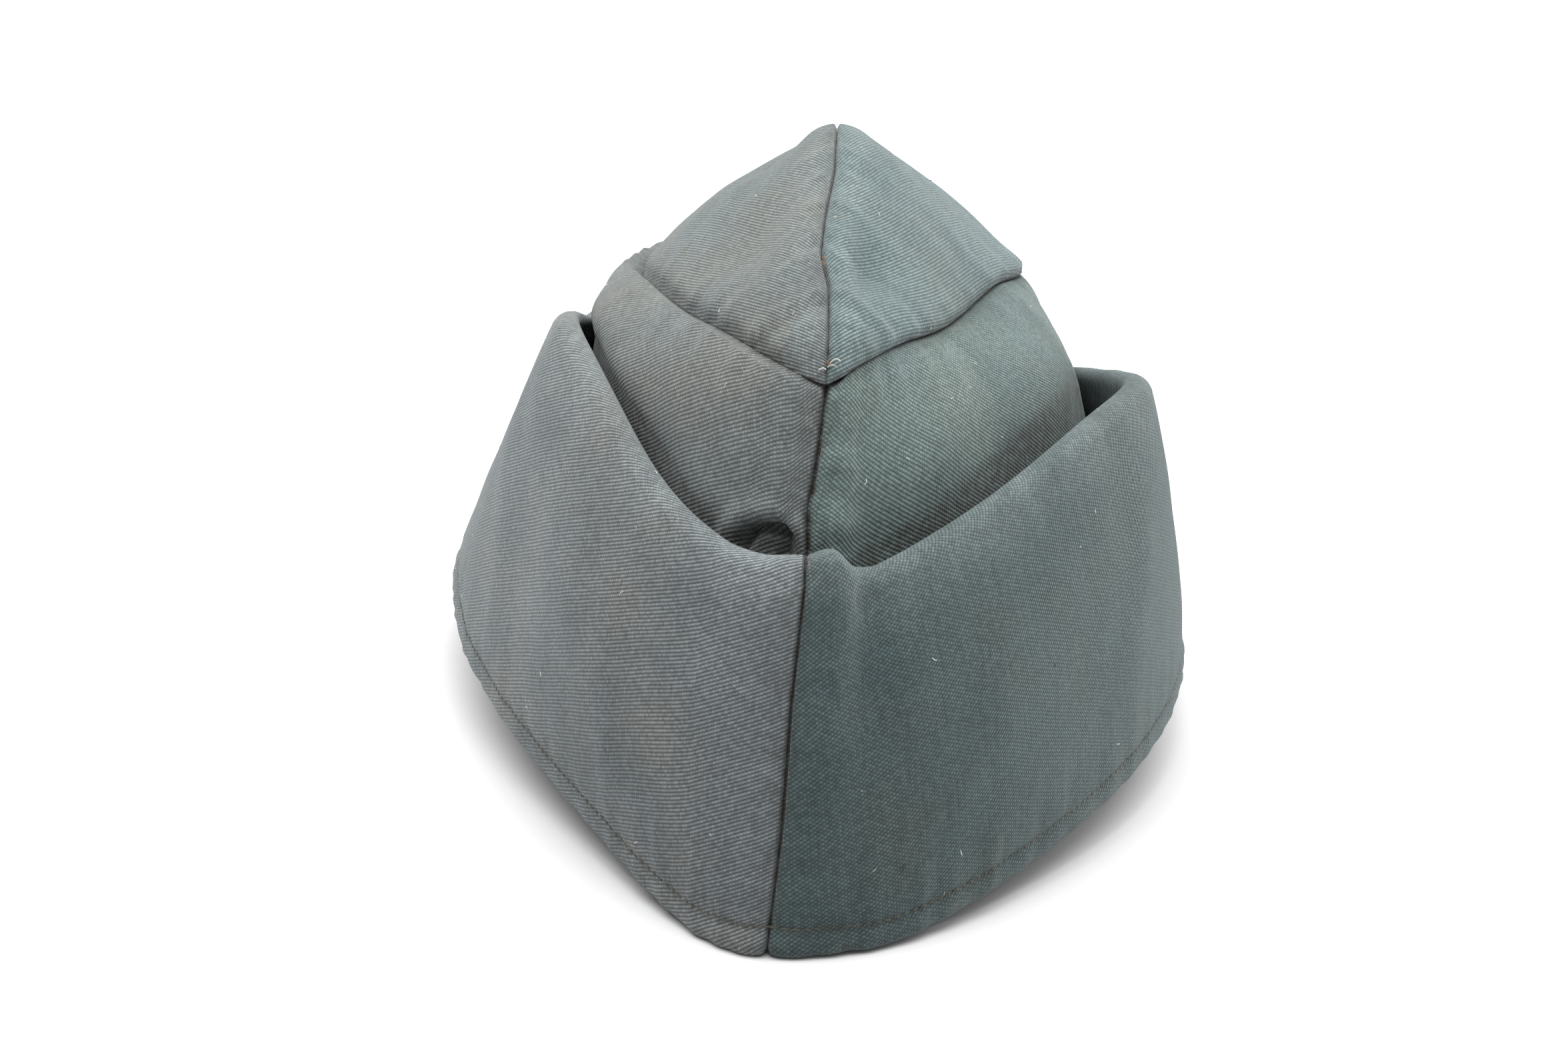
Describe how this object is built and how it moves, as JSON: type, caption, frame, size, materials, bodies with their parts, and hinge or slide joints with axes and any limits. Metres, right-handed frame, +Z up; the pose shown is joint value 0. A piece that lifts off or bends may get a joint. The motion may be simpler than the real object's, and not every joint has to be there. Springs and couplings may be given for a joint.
{
  "type": "military side cap",
  "caption": "Boat-shaped side cap of grey-green cotton twill with a ridge-seamed crown, a deep soft turn-up and a stitched hem, standing open on its hem.",
  "frame": {"origin": "middle of the cap's bounding box, on the surface that the hem stands on", "axes": "+Z up; +Y from the pictured end to the far end, along the ridge seam; +X to the right side as pictured"},
  "size_m": [0.1296, 0.2418, 0.1011],
  "materials": {
    "roof_left_twill": "matte cotton twill",
    "roof_right_twill": "matte cotton twill",
    "side_left_twill": "matte cotton twill",
    "side_right_twill": "matte cotton twill",
    "turnup_left_twill": "matte cotton twill",
    "turnup_right_twill": "matte cotton twill"
  },
  "bodies": {
    "root": {"roof_left": "roof_left_twill", "roof_right": "roof_right_twill", "side_left": "side_left_twill", "side_right": "side_right_twill", "turnup_left": "turnup_left_twill", "turnup_right": "turnup_right_twill"}
  },
  "joints": []
}
